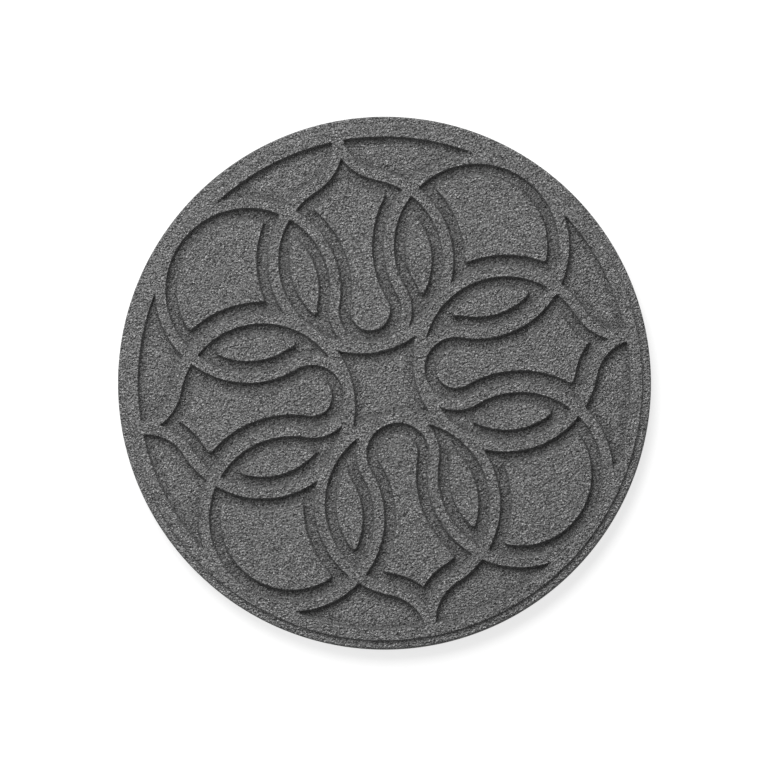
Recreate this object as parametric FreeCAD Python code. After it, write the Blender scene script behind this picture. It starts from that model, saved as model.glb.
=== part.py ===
import FreeCAD, Part
import math
import os

# Round garden stepping stone, moulded in one piece, lying flat. Its underside is at z = 0, the Z axis is
# its centre, and one petal of the ornament points along +Y. Millimetres.

# The slab
stone_diameter = 457.2     # 18 in across the ledge
thickness = 19.0           # underside to the top of the straps
ledge_width = 7.2          # low step that runs round the outside
ledge_drop = 2.4           # top of the straps down to the ledge
ledge_bevel = 1.0          # bevel on the ledge's outer edge
foot_bevel = 0.8           # bevel on the edge of the underside

# The relief
relief_depth = 5.0         # straps and islands above the groove floors
wall_draft = 14.0          # lean of every relief wall, in degrees from upright
rim_width = 10.1           # plain band inside the ledge
strap_width = 8.8          # straps of the ornament, at the top
groove_width = 9.85        # between a strap and the island inside it, at the top
island_corner = 2.4        # radius on the corners of the islands

# The ornament's centre-lines
ogee_radius = 43.0         # hollow curves that draw a petal's ring out to its tip
bulb_lift = 0.3            # the bulb's lowest point above the lowest point of its petal

quarter_turns = (0, 90, 180, 270)

top = thickness
floor = thickness - relief_depth
ledge = thickness - ledge_drop
stone_radius = stone_diameter / 2
plateau_radius = stone_radius - ledge_width
rim_inner_radius = plateau_radius - rim_width
rim_line_radius = plateau_radius - rim_width / 2
half_strap = strap_width / 2
lean = math.tan(math.radians(wall_draft))
batter = relief_depth * lean

# Neighbouring petal rings touch on the diagonals, so each lies the root of 2 of its radius from the
# middle. Its ogee curves touch it on its outside and end on the petal's axis, along it, where that meets
# the rim's centre-line. Together these set the radius of the rings.
reach = rim_line_radius * math.sqrt(2) + ogee_radius
ring_radius = reach - math.sqrt(reach ** 2 - rim_line_radius ** 2)
petal_distance = ring_radius * math.sqrt(2)

# The lobes are rings of the same radius that touch the rim's centre-line.
lobe_offset = (rim_line_radius - ring_radius) / math.sqrt(2)

# Each bulb touches the two lobes beside it and sits bulb_lift above its petal's lowest point.
bulb_bottom = petal_distance - ring_radius + bulb_lift
rise = lobe_offset - bulb_bottom
bulb_radius = (lobe_offset ** 2 + rise ** 2 - ring_radius ** 2) / (2 * (ring_radius + rise))
bulb_distance = bulb_bottom + bulb_radius


def point(x, y, z=0.0):
    return FreeCAD.Vector(x, y, z)


def arc(centre, radius, start, end):
    """Arc about a centre from one angle to another, in degrees; a falling angle runs clockwise."""
    def at(angle):
        turn = math.radians(angle)
        return centre + point(radius * math.cos(turn), radius * math.sin(turn))
    return Part.Arc(at(start), at((start + end) / 2), at(end)).toShape()


def line(start, end):
    return Part.LineSegment(start, end).toShape()


def face_of(edges):
    return Part.Face(Part.Wire(edges))


def disc(radius):
    return face_of([Part.Circle(point(0, 0), point(0, 0, 1), radius).toShape()])


def turned(shape, angle):
    """The shape turned about the stone's centre."""
    copy = shape.copy()
    copy.rotate(point(0, 0), point(0, 0, 1), angle)
    return copy


def petal(offset):
    """Area inside the +Y petal's centre-line moved outward by offset: a ring drawn out to an ogee tip."""
    ring = point(0, petal_distance)
    right = point(ogee_radius, rim_line_radius)
    left = point(-ogee_radius, rim_line_radius)
    ring_here = ring_radius + offset
    ogee_here = ogee_radius - offset
    join = math.degrees(math.atan2(rim_line_radius - petal_distance, ogee_radius))
    # Outside the centre-line the curves end beside the axis; inside it, both meet on the axis.
    end = math.degrees(math.acos(min(1.0, ogee_radius / ogee_here)))
    edges = [arc(ring, ring_here, 180 - join, 360 + join)]
    edges.append(arc(right, ogee_here, 180 + join, 180 + end))
    if offset > 0:
        corners = [point(offset, rim_line_radius), point(offset, stone_radius)]
        corners += [point(-offset, stone_radius), point(-offset, rim_line_radius)]
        edges += [line(a, b) for a, b in zip(corners, corners[1:])]
    edges.append(arc(left, ogee_here, -end, -join))
    return face_of(edges)


def petals(offset):
    return [turned(petal(offset), angle) for angle in quarter_turns]


def loop(offset):
    """Area inside the loop's centre-line moved outward by offset: four lobes joined by four bulbs."""
    lobe_centre = point(lobe_offset, lobe_offset)
    bulb_centre = point(0, bulb_distance)
    tilt = math.degrees(math.atan2(lobe_offset - bulb_distance, lobe_offset))
    lobe = arc(lobe_centre, ring_radius + offset, -90 - tilt, 180 + tilt)
    bulb = arc(bulb_centre, bulb_radius - offset, tilt, -180 - tilt)
    return face_of([turned(edge, angle) for angle in quarter_turns for edge in (lobe, bulb)])


# The kinds of sunk field, each as flat areas that stay inset from the edges of the straps round them. One
# quarter of the stone is enough, as the rest repeats it.

def lenses(inset):
    """Inside a petal and inside the loop."""
    side = half_strap + inset
    return petal(-side).common(loop(-side)).Faces


def keyholes(inset):
    """Inside a petal and outside the loop."""
    side = half_strap + inset
    return petal(-side).cut(loop(side)).Faces


def lobes_and_middle(inset):
    """Inside the loop and outside the petals: four lobes, and the middle of the stone."""
    side = half_strap + inset
    return loop(-side).cut(petals(side)).Faces


def lobes(inset):
    return [face for face in lobes_and_middle(inset) if in_first_quarter(face)]


def middle(inset):
    return [min(lobes_and_middle(inset), key=lambda face: face.CenterOfMass.Length)]


def crescents(inset):
    """Outside the petals and the loop, and inside the rim."""
    side = half_strap + inset
    areas = disc(rim_inner_radius - inset).cut([loop(side)] + petals(side)).Faces
    return [face for face in areas if in_first_quarter(face)]


def in_first_quarter(face):
    centre = face.CenterOfMass
    return min(centre.x, centre.y) > half_strap


def drafted(low_area, high_area):
    """Solid with leaning walls between one area at the groove floor and another at the top."""
    low = low_area.OuterWire.translated(point(0, 0, floor))
    high = high_area.OuterWire.translated(point(0, 0, top))
    return Part.makeLoft([low, high], True, True)


def island(core):
    """A round-cornered island grown from the area that its corner rounds are centred on."""
    return drafted(core.makeOffset2D(island_corner + batter), core.makeOffset2D(island_corner))


def sunk(fields, with_islands):
    """What one kind of field takes out of the slab, round the islands that are left standing in it."""
    def across(area):
        return area.CenterOfMass.x

    lows = sorted(fields(batter), key=across)
    highs = sorted(fields(0), key=across)
    cuts = [drafted(low, high) for low, high in zip(lows, highs)]
    if not with_islands:
        return cuts
    islands = [island(core) for core in fields(groove_width + island_corner)]
    return [cut.cut(islands) for cut in cuts]


def relief():
    """Everything that is sunk into the top: one quarter's fields four times, and the middle."""
    quarter = sunk(lenses, True) + sunk(keyholes, True) + sunk(lobes, True) + sunk(crescents, False)
    return [turned(cut, angle) for angle in quarter_turns for cut in quarter] + sunk(middle, False)


def slab():
    """The stone before its relief: a disc with bevelled edges, a low ledge and a flat raised top."""
    def at(radius, height):
        return point(radius, 0, height)

    step_foot = plateau_radius + ledge_drop * lean
    corners = [
        at(0, 0),
        at(stone_radius - foot_bevel, 0),
        at(stone_radius, foot_bevel),
        at(stone_radius, ledge - ledge_bevel),
        at(stone_radius - ledge_bevel, ledge),
        at(step_foot, ledge),
        at(plateau_radius, top),
        at(0, top),
    ]
    profile = [line(a, b) for a, b in zip(corners, corners[1:] + corners[:1])]
    return face_of(profile).revolve(point(0, 0), point(0, 0, 1), 360)


os.makedirs("parts", exist_ok=True)
stone = slab().cut(relief())
stone.Solids[0].exportStep("parts/stepping_stone.step")
print("solids", len(stone.Solids), "valid", stone.isValid(), "litres", round(stone.Volume / 1e6, 3))
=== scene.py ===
import bpy
import math
import numpy as np
from mathutils import Matrix, Vector


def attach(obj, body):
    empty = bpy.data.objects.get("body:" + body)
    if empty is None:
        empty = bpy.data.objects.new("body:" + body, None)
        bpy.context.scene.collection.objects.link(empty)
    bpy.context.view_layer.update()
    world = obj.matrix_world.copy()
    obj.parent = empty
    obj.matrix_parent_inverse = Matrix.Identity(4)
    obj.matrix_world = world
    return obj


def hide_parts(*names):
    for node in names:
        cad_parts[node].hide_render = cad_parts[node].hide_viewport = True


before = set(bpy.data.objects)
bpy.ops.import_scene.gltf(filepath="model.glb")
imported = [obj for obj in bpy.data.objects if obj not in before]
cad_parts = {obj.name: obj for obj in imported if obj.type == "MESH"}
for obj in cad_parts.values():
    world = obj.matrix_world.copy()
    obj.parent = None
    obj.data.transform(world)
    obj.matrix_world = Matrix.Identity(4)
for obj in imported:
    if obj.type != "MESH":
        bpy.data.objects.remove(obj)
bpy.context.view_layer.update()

# Dressed model of the round garden stepping stone: its moulded crumb surface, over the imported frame. The
# shape is worked out in millimetres from the same sizes as the solid, and put into the mesh in metres.

# The slab
stone_diameter = 457.2     # across the ledge
thickness = 19.0           # underside to the top of the straps
ledge_width = 7.2          # low step that runs round the outside
ledge_drop = 2.4           # top of the straps down to the ledge
ledge_bevel = 1.0          # bevel on the ledge's outer edge
foot_bevel = 0.8           # bevel on the edge of the underside

# The relief
relief_depth = 5.0         # straps and islands above the groove floors
wall_draft = 14.0          # lean of every relief wall, in degrees from upright
rim_width = 10.1           # plain band inside the ledge
strap_width = 8.8          # straps of the ornament, at the top
groove_width = 9.85        # between a strap and the island inside it, at the top
island_corner = 2.4        # radius on the corners of the islands
field_corner = 0.6         # radius on the corners of the sunk fields

# The ornament's centre-lines
ogee_radius = 43.0         # hollow curves that draw a petal's ring out to its tip
bulb_lift = 0.3            # the bulb's lowest point above the lowest point of its petal

# The crumb
crumb_size = 1.25          # width of a rubber crumb
lattice_spacing = 2.55     # between the points of the top's mesh
lattice_shake = 0.22       # furthest that such a point is moved each way, in spacings
ragged = 0.1               # how far a crumb stands out of or back from a wall line
shake_widths = (1.5, 1.0)  # coarse and fine noise along the wall lines, in crumbs
shake_shares = (0.6, 0.4)
dent = 0.5                 # deepest hollow between the crumbs of a flat
dent_widths = (1.9, 1.4)   # coarse and fine noise in the depth of the hollows, in crumbs
dent_at_walls = 0.05       # share of its depth that a hollow keeps beside a wall
edge_wear = 0.3            # how far the upper edge of every wall is worn back, and how far down
wear_inset = 0.85          # where that wear ends at its depth, as a share of how far back it starts
foot_fill = 0.6            # how far the foot of every wall is filled, up and out
side_rings = 5             # rows of the mesh down the side

# The material, with its patterns measured in crumbs
crumb_relief = 5.0         # millimetres of bump that noise of 1 stands for
bump_width = 1.3
cell_width = 0.72          # cells of one tone
cell_bend = 0.5            # how far noise bends their outlines
cell_bend_width = 1.6      # width of that noise, in cells
cell_gap = (0.35, 0.85, 1.1, 0.5)    # near to and far from a cell's middle, and the tones there
mottle_width = 1 / 2.2
mottle = (0.3, 0.7, 0.7, 1.3)        # low and high noise, and the tones there
roughness = 0.85
crumb_tones = [(0.0, 0.01), (0.13, 0.085), (0.35, 0.2), (0.7, 0.29), (0.9, 0.38), (1.0, 0.6)]

# Painted shade: walls, and the floors beside them, are painted darker than the flats, as shade in the
# recesses, with a faint painted highlight along the upper edges: the tone at each distance past an upper
# edge
painted_shade_reach = [-2.5, -edge_wear, -edge_wear * wear_inset, 1.1, 2.2, 4.5, 7.0, 8.5]
painted_shade_tone = [1.0, 1.02, 0.8, 0.6, 0.75, 0.66, 0.93, 1.0]

# The picture
picture_size = 768         # pixels across and down
pixel_width = 0.8572       # millimetres of the stone's top to a pixel
stone_in_picture = (384.1, 382.4)
picture_roll = 10.91       # degrees that the +Y petal leans to the left of the picture's up
sensor_width = 36.0
camera_distance = 12000.0
view_tilt = 3.5            # degrees that the camera looks aslant
view_heading = -60.0       # degrees from the picture's right to the side on which it stands

# The floor
floor_gap = 0.05           # between the underside and the floor, so that the two faces stay apart
floor_half_width = 20.0    # metres
floor_grey = 0.4           # its colour for the light that it throws back
floor_glow = 0.76          # what it adds for the camera, so that it shows as white

# The light, with shares as parts of a white sheet's brightness
light_level = 1.04
wide_lamp = {"heading": 112, "elevation": 46, "distance": 4500.0, "size": 3570.0, "share": 0.84}
fill_lamp = {"heading": 180, "elevation": 60, "distance": 800.0, "size": 480.0, "share": 0.09}

millimetre = 0.001
seed = 658

stone_radius = stone_diameter / 2
plateau_radius = stone_radius - ledge_width
rim_inner_radius = plateau_radius - rim_width
rim_line_radius = plateau_radius - rim_width / 2
half_strap = strap_width / 2
lean = math.tan(math.radians(wall_draft))

reach = rim_line_radius * math.sqrt(2) + ogee_radius
ring_radius = reach - math.sqrt(reach ** 2 - rim_line_radius ** 2)
petal_distance = ring_radius * math.sqrt(2)
lobe_offset = (rim_line_radius - ring_radius) / math.sqrt(2)
bulb_bottom = petal_distance - ring_radius + bulb_lift
rise = lobe_offset - bulb_bottom
bulb_radius = (lobe_offset ** 2 + rise ** 2 - ring_radius ** 2) / (2 * (ring_radius + rise))
bulb_distance = bulb_bottom + bulb_radius

rng = np.random.default_rng(seed)


def soft_noise(grain):
    """A function that gives noise from -1 to 1 at any points: random values at the corners of squares as
    wide as grain, blended smoothly."""
    cells = math.ceil(stone_diameter * 1.1 / grain)
    values = rng.uniform(-1.0, 1.0, (cells + 1, cells + 1))

    def at(points):
        place = points / grain + cells / 2
        corner = np.floor(place).astype(int)
        x, y = (place - corner).T
        x = x * x * (3 - 2 * x)
        y = y * y * (3 - 2 * y)
        i, j = corner.T
        near = values[i, j] * (1 - x) + values[i + 1, j] * x
        far = values[i, j + 1] * (1 - x) + values[i + 1, j + 1] * x
        return near * (1 - y) + far * y
    return at


def to_circle(points, centre, radius):
    """Distance to a circle's line, with the direction in which it grows."""
    arm = points - centre
    length = np.maximum(np.hypot(arm[:, 0], arm[:, 1]), 1e-9)
    side = np.where(length > radius, 1.0, -1.0)
    return np.abs(length - radius), arm * (side / length)[:, None]


def folded(points):
    """The points mirrored into the eighth of the stone between the +Y axis and the diagonal."""
    return np.sort(np.abs(points), axis=1)


def inside_corner(first, second, cosine, radius):
    """Distance inside the area where both distances are positive, with its corners rounded.

    It is the radius less the distance to the core, the area where both are at least the radius. Past both
    sides of the core that is the distance to the core's corner, from the cosine between the two
    directions, and elsewhere the larger shortfall."""
    a = radius - first
    b = radius - second
    sine_squared = np.maximum(1 - cosine ** 2, 1e-4)
    to_corner = np.sqrt(np.maximum(a * a + b * b - 2 * a * b * cosine, 0) / sine_squared)
    at_corner = (a > 0) & (b > 0) & (a > b * cosine) & (b > a * cosine)
    return radius - np.where(at_corner, to_corner, np.maximum(a, b))


def sunk_field(points):
    """Distance into the sunk part of the top: nought on the upper edge of every wall, positive over a wall
    and a groove, negative over the straps, the rim and the islands.

    Two distances to the nearest centre-lines, less half a strap, give the fields and, from groove_width
    further in, the islands."""
    here = folded(points)
    x, y = here.T
    radial = np.hypot(x, y)
    ring_centre = np.array([0.0, petal_distance])
    ogee_centre = np.array([ogee_radius, rim_line_radius])
    lobe_centre = np.array([lobe_offset, lobe_offset])
    bulb_centre = np.array([0.0, bulb_distance])

    join = math.atan2(rim_line_radius - petal_distance, ogee_radius)
    above_join = np.arctan2(y - petal_distance, x) > join
    tilt = math.atan2(lobe_offset - bulb_distance, lobe_offset)
    above_bulb = (y - bulb_distance) * math.cos(tilt) > x * math.sin(tilt)

    far = 1e3
    found = [to_circle(here, ring_centre, ring_radius), to_circle(here, ogee_centre, ogee_radius)]
    found += [to_circle(here, lobe_centre, ring_radius), to_circle(here, bulb_centre, bulb_radius)]
    distance = np.stack([item[0] for item in found])
    distance[0] += far * above_join
    distance[1] += far * ~above_join
    distance[2] += far * ~above_bulb
    distance[3] += far * above_bulb
    direction = np.stack([item[1] for item in found])

    in_ring = np.hypot(x, y - petal_distance) < ring_radius
    in_tip = (np.hypot(x - ogee_radius, y - rim_line_radius) > ogee_radius) & (x < ogee_radius)
    in_petal = np.where(above_join, in_tip, in_ring)
    in_lobe = np.hypot(x - lobe_offset, y - lobe_offset) < ring_radius
    in_loop = np.where(above_bulb, in_lobe, np.hypot(x, y - bulb_distance) > bulb_radius)
    crescent = ~in_petal & ~in_loop
    plain = crescent | (~in_petal & (radial < ring_radius))

    distance -= half_strap
    rim_gap = np.where(crescent, rim_inner_radius - radial, far)
    distance = np.vstack([distance, rim_gap])
    inward = -here / np.maximum(radial, 1e-9)[:, None]
    direction = np.concatenate([direction, inward[None]])

    order = np.argsort(distance, axis=0)[:2]
    first, second = np.take_along_axis(distance, order, axis=0)
    column = np.arange(len(here))
    cosine = np.sum(direction[order[0], column] * direction[order[1], column], axis=1)
    field = inside_corner(first, second, cosine, field_corner)
    island = inside_corner(first - groove_width, second - groove_width, cosine, island_corner)
    return np.minimum(field, np.where(plain, far, -island))


def lattice(radius, spacing):
    """An even triangular lattice a little larger than a disc: its points, each shaken a little, and its
    triangles, two to a cell."""
    columns = math.ceil(radius / spacing) + 2
    rows = math.ceil(radius / (spacing * math.sqrt(0.75))) + 2
    i, j = np.meshgrid(np.arange(-columns, columns + 1), np.arange(-rows, rows + 1))
    points = np.stack([(i + (j % 2) / 2) * spacing, j * spacing * math.sqrt(0.75)], axis=-1)
    points += rng.uniform(-lattice_shake, lattice_shake, points.shape) * spacing
    number = np.arange(i.size).reshape(i.shape)
    a, b = number[:-1, :-1], number[:-1, 1:]
    c, d = number[1:, :-1], number[1:, 1:]
    even = (j[:-1, :-1] % 2 == 0)
    first = np.stack([a, np.where(even, b, d), c], axis=-1)
    second = np.stack([np.where(even, b, a), np.where(even, d, b), np.where(even, c, d)], axis=-1)
    return points.reshape(-1, 2), np.concatenate([first.reshape(-1, 3), second.reshape(-1, 3)])


def cut_along(points, triangles, field, level, snap=0.04, halvings=8):
    """Splits the triangles that the line field = level crosses, so that edges run along that line.

    Each crossed edge gets one new point where the field reaches the level, found by halving the edge. A
    triangle with one crossed edge becomes two, and one with two becomes three. Points whose field is within
    snap of the level count as on the line."""
    value = field(points) - level
    value[np.abs(value) < snap] = 0
    ends = np.concatenate([triangles[:, [0, 1]], triangles[:, [1, 2]], triangles[:, [2, 0]]])
    ends = np.sort(ends, axis=1)
    edges, which = np.unique(ends, axis=0, return_inverse=True)
    crossed = value[edges[:, 0]] * value[edges[:, 1]] < 0
    low, high = edges[crossed].T
    low, high = np.where(value[low] < 0, low, high), np.where(value[low] < 0, high, low)
    start, end = points[low], points[high]
    for halving in range(halvings):
        middle = (start + end) / 2
        below = (field(middle) < level)[:, None]
        start, end = np.where(below, middle, start), np.where(below, end, middle)
    number = np.full(len(edges), -1)
    number[crossed] = len(points) + np.arange(crossed.sum())
    new = number[which.reshape(3, -1).T]
    count = (new >= 0).sum(axis=1)

    def rolled(chosen, turn):
        place = (turn[:, None] + np.arange(3)) % 3
        corners = np.take_along_axis(triangles[chosen], place, axis=1)
        return corners, np.take_along_axis(new[chosen], place, axis=1)

    one = count == 1
    corner, added = rolled(one, np.argmax(new[one] >= 0, axis=1))
    halves = [[corner[:, 0], added[:, 0], corner[:, 2]], [added[:, 0], corner[:, 1], corner[:, 2]]]
    two = count == 2
    corner, added = rolled(two, (np.argmax(new[two] < 0, axis=1) + 2) % 3)
    p, q = added[:, 0], added[:, 2]
    thirds = [[corner[:, 0], p, q], [p, corner[:, 1], corner[:, 2]], [p, corner[:, 2], q]]
    pieces = [np.stack(piece, axis=1) for piece in halves + thirds]
    points = np.concatenate([points, (start + end) / 2])
    return points, np.concatenate([triangles[count == 0]] + pieces)


def radius_of(points):
    return np.hypot(points[:, 0], points[:, 1])


def wall_profile(depth):
    """The lines along a wall of this depth: how far each lies out from the upper edge, and how far down."""
    fill_top = depth - foot_fill
    out = [-edge_wear, -edge_wear * wear_inset, fill_top * lean, depth * lean + foot_fill]
    return out, [0.0, edge_wear, fill_top, depth]


def top_surface():
    """The lattice, cut along the walls of the relief and the rings of the ledge, and trimmed to the disc.

    Its height is the thickness less the drops of the relief's walls, the ledge's wall and the ledge's bevel,
    each read from its profile, and less a hollow. The hollow is half of dent, give or take as much again by
    noise, and fades to dent_at_walls of that beside a wall."""
    points, triangles = lattice(stone_radius, lattice_spacing)
    shakes = [soft_noise(crumb_size * width) for width in shake_widths]
    dents = [soft_noise(crumb_size * width) for width in dent_widths]

    def ragged_field(places):
        shake = sum(share * at(places) for share, at in zip(shake_shares, shakes))
        return sunk_field(places) + ragged * shake

    wall_out, wall_down = wall_profile(relief_depth)
    ledge_out, ledge_down = wall_profile(ledge_drop)
    ledge_rings = [plateau_radius + out for out in ledge_out]
    for level in wall_out:
        points, triangles = cut_along(points, triangles, ragged_field, level)
    for ring in ledge_rings + [stone_radius - ledge_bevel, stone_radius]:
        points, triangles = cut_along(points, triangles, radius_of, ring)
    margin = 0.05
    outer = radius_of(points) > stone_radius - margin
    inside = radius_of(points) < stone_radius + margin
    triangles = triangles[inside[triangles].all(axis=1) & ~outer[triangles].all(axis=1)]
    points[outer] *= (stone_radius / radius_of(points)[outer])[:, None]
    used, where = np.unique(triangles, return_inverse=True)
    points = points[used]
    triangles = where.reshape(-1, 3)

    field = ragged_field(points)
    radial = radius_of(points)
    sink = np.interp(field, wall_out, wall_down)
    step = np.interp(radial, ledge_rings, ledge_down)
    bevel = np.interp(radial, [stone_radius - ledge_bevel, stone_radius], [0, ledge_bevel])
    grain = sum(at(points) for at in dents) / len(dents)
    from_wall = np.maximum(wall_out[0] - field, field - wall_out[-1])
    hollow = dent * np.clip(from_wall / lattice_spacing, dent_at_walls, 1.0)
    z = thickness - sink - step - bevel - hollow * (0.5 + 0.5 * grain)
    # Painted shade: darker over the walls and the floors beside them, with a faint painted highlight at the
    # upper edges
    painted_shade = np.interp(field, painted_shade_reach, painted_shade_tone)
    return np.column_stack([points, z]), triangles, painted_shade


def closed_slab():
    """The top surface with the side and the underside. The rings of the side repeat the top's outer points
    further down, and the underside is a fan about the centre."""
    top, triangles, painted_shade = top_surface()
    rim = np.flatnonzero(radius_of(top) > stone_radius - 1e-4)
    rim = rim[np.argsort(np.arctan2(top[rim, 1], top[rim, 0]))]
    edge = top[rim, :2] / stone_radius
    side_top = thickness - ledge_drop - ledge_bevel - dent
    levels = [(stone_radius, height) for height in np.linspace(side_top, foot_bevel, side_rings + 1)[1:]]
    levels.append((stone_radius - foot_bevel, 0.0))
    rings = [np.column_stack([edge * radius, np.full(len(rim), height)]) for radius, height in levels]
    count = len(rim)
    first = len(top)
    numbers = [rim] + [first + k * count + np.arange(count) for k in range(len(rings))]
    faces = [triangles]
    for upper, lower in zip(numbers, numbers[1:]):
        a, b = upper, np.roll(upper, -1)
        c, d = lower, np.roll(lower, -1)
        faces += [np.stack([a, c, d], axis=1), np.stack([a, d, b], axis=1)]
    centre = first + len(rings) * count
    last = numbers[-1]
    faces.append(np.stack([np.roll(last, -1), last, np.full(count, centre)], axis=1))
    points = np.concatenate([top] + rings + [np.zeros((1, 3))])
    painted_shade = np.concatenate([painted_shade, np.ones(len(points) - len(painted_shade))])
    return points, np.concatenate(faces), painted_shade


def made_mesh(name, points, triangles, painted_shade):
    """An object of these points, in millimetres, and triangles, with the share of its tone that each point
    keeps, which paints shade over the walls and grooves."""
    mesh = bpy.data.meshes.new(name)
    mesh.vertices.add(len(points))
    mesh.vertices.foreach_set("co", (points * millimetre).ravel())
    mesh.loops.add(triangles.size)
    mesh.loops.foreach_set("vertex_index", triangles.ravel())
    mesh.polygons.add(len(triangles))
    mesh.polygons.foreach_set("loop_start", np.arange(0, triangles.size, 3))
    mesh.update(calc_edges=True)
    mesh.validate()
    mesh.shade_flat()
    mesh.attributes.new("painted_shade", "FLOAT", "POINT").data.foreach_set("value", painted_shade)
    thing = bpy.data.objects.new(name, mesh)
    bpy.context.scene.collection.objects.link(thing)
    return thing


def crumb_rubber():
    """Bound rubber crumb: grains of random grey, some pale and some dark as pits, with dark gaps between
    them. A low noise about as wide as the crumbs roughens the surface."""
    material = bpy.data.materials.new("crumb_rubber")
    material.use_nodes = True
    nodes = material.node_tree.nodes
    links = material.node_tree.links
    shader = nodes["Principled BSDF"]
    shader.inputs["Roughness"].default_value = roughness
    place = nodes.new("ShaderNodeTexCoord").outputs["Object"]

    def noise(grain, detail):
        node = nodes.new("ShaderNodeTexNoise")
        node.inputs["Scale"].default_value = 1 / (grain * millimetre)
        node.inputs["Detail"].default_value = detail
        links.new(place, node.inputs["Vector"])
        return node

    def sum_of(first, factor, second, kind="ShaderNodeMath"):
        """first * factor + second."""
        node = nodes.new(kind)
        node.operation = "MULTIPLY_ADD"
        node.inputs[1].default_value = factor
        links.new(first, node.inputs[0])
        links.new(second, node.inputs[2])
        return node.outputs[0]

    def product(first, second):
        node = nodes.new("ShaderNodeMath")
        node.operation = "MULTIPLY"
        links.new(first, node.inputs[0])
        links.new(second, node.inputs[1])
        return node.outputs[0]

    def remapped(value, low, high, to_low, to_high):
        node = nodes.new("ShaderNodeMapRange")
        names = ("From Min", "From Max", "To Min", "To Max")
        for name, number in zip(names, (low, high, to_low, to_high)):
            node.inputs[name].default_value = number
        links.new(value, node.inputs["Value"])
        return node.outputs["Result"]

    def grains(width, bend):
        """Cells about as wide as a grain, their outlines bent by noise."""
        node = nodes.new("ShaderNodeTexVoronoi")
        node.inputs["Scale"].default_value = 1 / (width * millimetre)
        shift = noise(width * cell_bend_width, 1.0).outputs["Color"]
        bent = sum_of(shift, (bend * millimetre,) * 3, place, "ShaderNodeVectorMath")
        links.new(bent, node.inputs["Vector"])
        return node

    cells = grains(crumb_size * cell_width, crumb_size * cell_bend)
    pick = nodes.new("ShaderNodeSeparateColor")
    links.new(cells.outputs["Color"], pick.inputs["Color"])
    tone = nodes.new("ShaderNodeValToRGB")
    stops = tone.color_ramp.elements
    for share, grey in crumb_tones[1:-1]:
        stops.new(share)
    for stop, (share, grey) in zip(stops, crumb_tones):
        stop.position = share
        stop.color = (grey, grey, grey, 1)
    links.new(pick.outputs["Red"], tone.inputs["Fac"])
    gap = remapped(cells.outputs["Distance"], *cell_gap)
    fine = noise(crumb_size * mottle_width, 3.0).outputs["Fac"]
    # Painted shade: the colour is darkened over the walls and grooves by the point attribute
    painted_shade = nodes.new("ShaderNodeAttribute")
    painted_shade.attribute_name = "painted_shade"
    grain = product(product(tone.outputs["Color"], gap), remapped(fine, *mottle))
    links.new(product(grain, painted_shade.outputs["Fac"]), shader.inputs["Base Color"])

    height = noise(crumb_size * bump_width, 1.0).outputs["Fac"]
    bump = nodes.new("ShaderNodeBump")
    bump.inputs["Strength"].default_value = 1.0
    bump.inputs["Distance"].default_value = crumb_relief * millimetre
    links.new(height, bump.inputs["Height"])
    links.new(bump.outputs["Normal"], shader.inputs["Normal"])
    return material


def seen_only(tree, seen, always):
    """Strength always, and seen on top of it for what looks straight at it, in a mirror or through glass."""
    ray = tree.nodes.new("ShaderNodeLightPath")
    total = ray.outputs["Is Camera Ray"]
    for kind in ("Is Glossy Ray", "Is Transmission Ray"):
        both = tree.nodes.new("ShaderNodeMath")
        both.operation = "ADD"
        tree.links.new(total, both.inputs[0])
        tree.links.new(ray.outputs[kind], both.inputs[1])
        total = both.outputs["Value"]
    strength = tree.nodes.new("ShaderNodeMath")
    strength.operation = "MULTIPLY_ADD"
    strength.inputs[1].default_value = seen
    strength.inputs[2].default_value = always
    tree.links.new(total, strength.inputs[0])
    return strength.outputs["Value"]


def white_floor():
    """A white sheet that shows as plain white to the camera and still takes the stone's shadow."""
    mesh = bpy.data.meshes.new("floor")
    signs = [(-1, -1), (1, -1), (1, 1), (-1, 1)]
    corners = [(x * floor_half_width, y * floor_half_width, -floor_gap * millimetre) for x, y in signs]
    mesh.from_pydata(corners, [], [(0, 1, 2, 3)])
    sheet = bpy.data.objects.new("floor", mesh)
    bpy.context.scene.collection.objects.link(sheet)
    material = bpy.data.materials.new("white_paper")
    material.use_nodes = True
    shader = material.node_tree.nodes["Principled BSDF"]
    shader.inputs["Base Color"].default_value = (floor_grey, floor_grey, floor_grey, 1)
    shader.inputs["Roughness"].default_value = 1.0
    shader.inputs["Emission Color"].default_value = (1, 1, 1, 1)
    glow = seen_only(material.node_tree, floor_glow, 0.0)
    material.node_tree.links.new(glow, shader.inputs["Emission Strength"])
    sheet.data.materials.append(material)


def in_picture(right, up, height):
    """The place, in millimetres, that lies right and up of the stone's centre in the picture."""
    roll = math.radians(picture_roll)
    x = right * math.cos(roll) + up * math.sin(roll)
    y = up * math.cos(roll) - right * math.sin(roll)
    return np.array([x, y, height])


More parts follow.
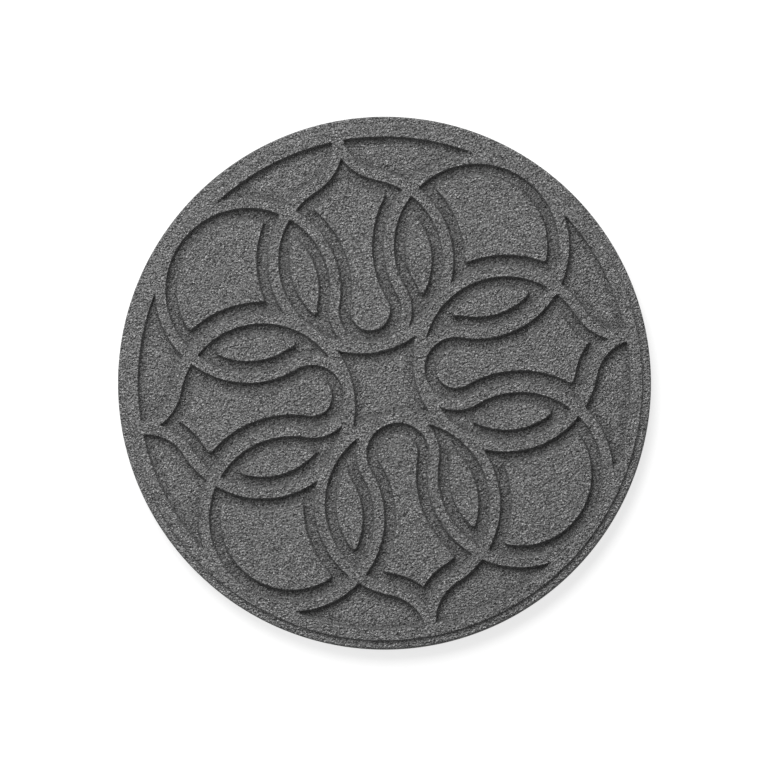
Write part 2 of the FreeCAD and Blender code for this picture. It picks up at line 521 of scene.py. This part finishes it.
def soft_lamp(name, heading, elevation, distance, size, share):
    """A disc lamp aimed at the stone, from a heading counted from the picture's right. Its share is the part
    of a white sheet's brightness that it gives."""
    rise = math.radians(elevation)
    level = distance * math.cos(rise)
    turn = math.radians(heading)
    place = in_picture(level * math.cos(turn), level * math.sin(turn), distance * math.sin(rise))
    data = bpy.data.lights.new(name, "AREA")
    data.shape = "DISK"
    data.size = size * millimetre
    data.energy = share * math.pi ** 2 * (distance * millimetre) ** 2 / math.sin(rise)
    lamp = bpy.data.objects.new(name, data)
    bpy.context.scene.collection.objects.link(lamp)
    lamp.location = place * millimetre
    lamp.rotation_euler = (-lamp.location).to_track_quat("-Z", "Y").to_euler()


def soft_light():
    """A wide lamp above the upper left of the picture, a fill from its left, and an even glow that shows as
    plain white behind the stone."""
    soft_lamp("wide_lamp", **wide_lamp)
    soft_lamp("fill_lamp", **fill_lamp)
    world = bpy.data.worlds.new("studio")
    world.use_nodes = True
    background = world.node_tree.nodes["Background"]
    background.inputs["Color"].default_value = (1, 1, 1, 1)
    glow = light_level - wide_lamp["share"] - fill_lamp["share"]
    strength = seen_only(world.node_tree, 1 - glow, glow)
    world.node_tree.links.new(strength, background.inputs["Strength"])
    bpy.context.scene.world = world


def picture_camera():
    """A long lens above the stone, turned and placed so that the stone lies as in the picture. It stands a
    little to one side, from where a thin line of the stone's side shows."""
    data = bpy.data.cameras.new("camera")
    data.sensor_width = sensor_width
    data.lens = sensor_width * camera_distance / (picture_size * pixel_width)
    camera = bpy.data.objects.new("camera", data)
    bpy.context.scene.collection.objects.link(camera)
    heading = math.radians(view_heading)
    lean_over = Matrix.Rotation(math.radians(view_tilt), 3, (-math.sin(heading), math.cos(heading), 0))
    turn = Matrix.Rotation(-math.radians(picture_roll), 3, "Z") @ lean_over
    middle = picture_size / 2
    right = (middle - stone_in_picture[0]) * pixel_width
    up = (stone_in_picture[1] - middle) * pixel_width
    target = Vector(in_picture(right, up, thickness))
    camera.location = (target + turn @ Vector((0, 0, camera_distance))) * millimetre
    camera.rotation_euler = turn.to_euler()
    bpy.context.scene.camera = camera


stone = made_mesh("crumb_stone", *closed_slab())
stone.data.materials.append(crumb_rubber())
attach(stone, "root")
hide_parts("stepping_stone")

white_floor()
soft_light()
picture_camera()
bpy.context.scene.view_settings.view_transform = "Standard"
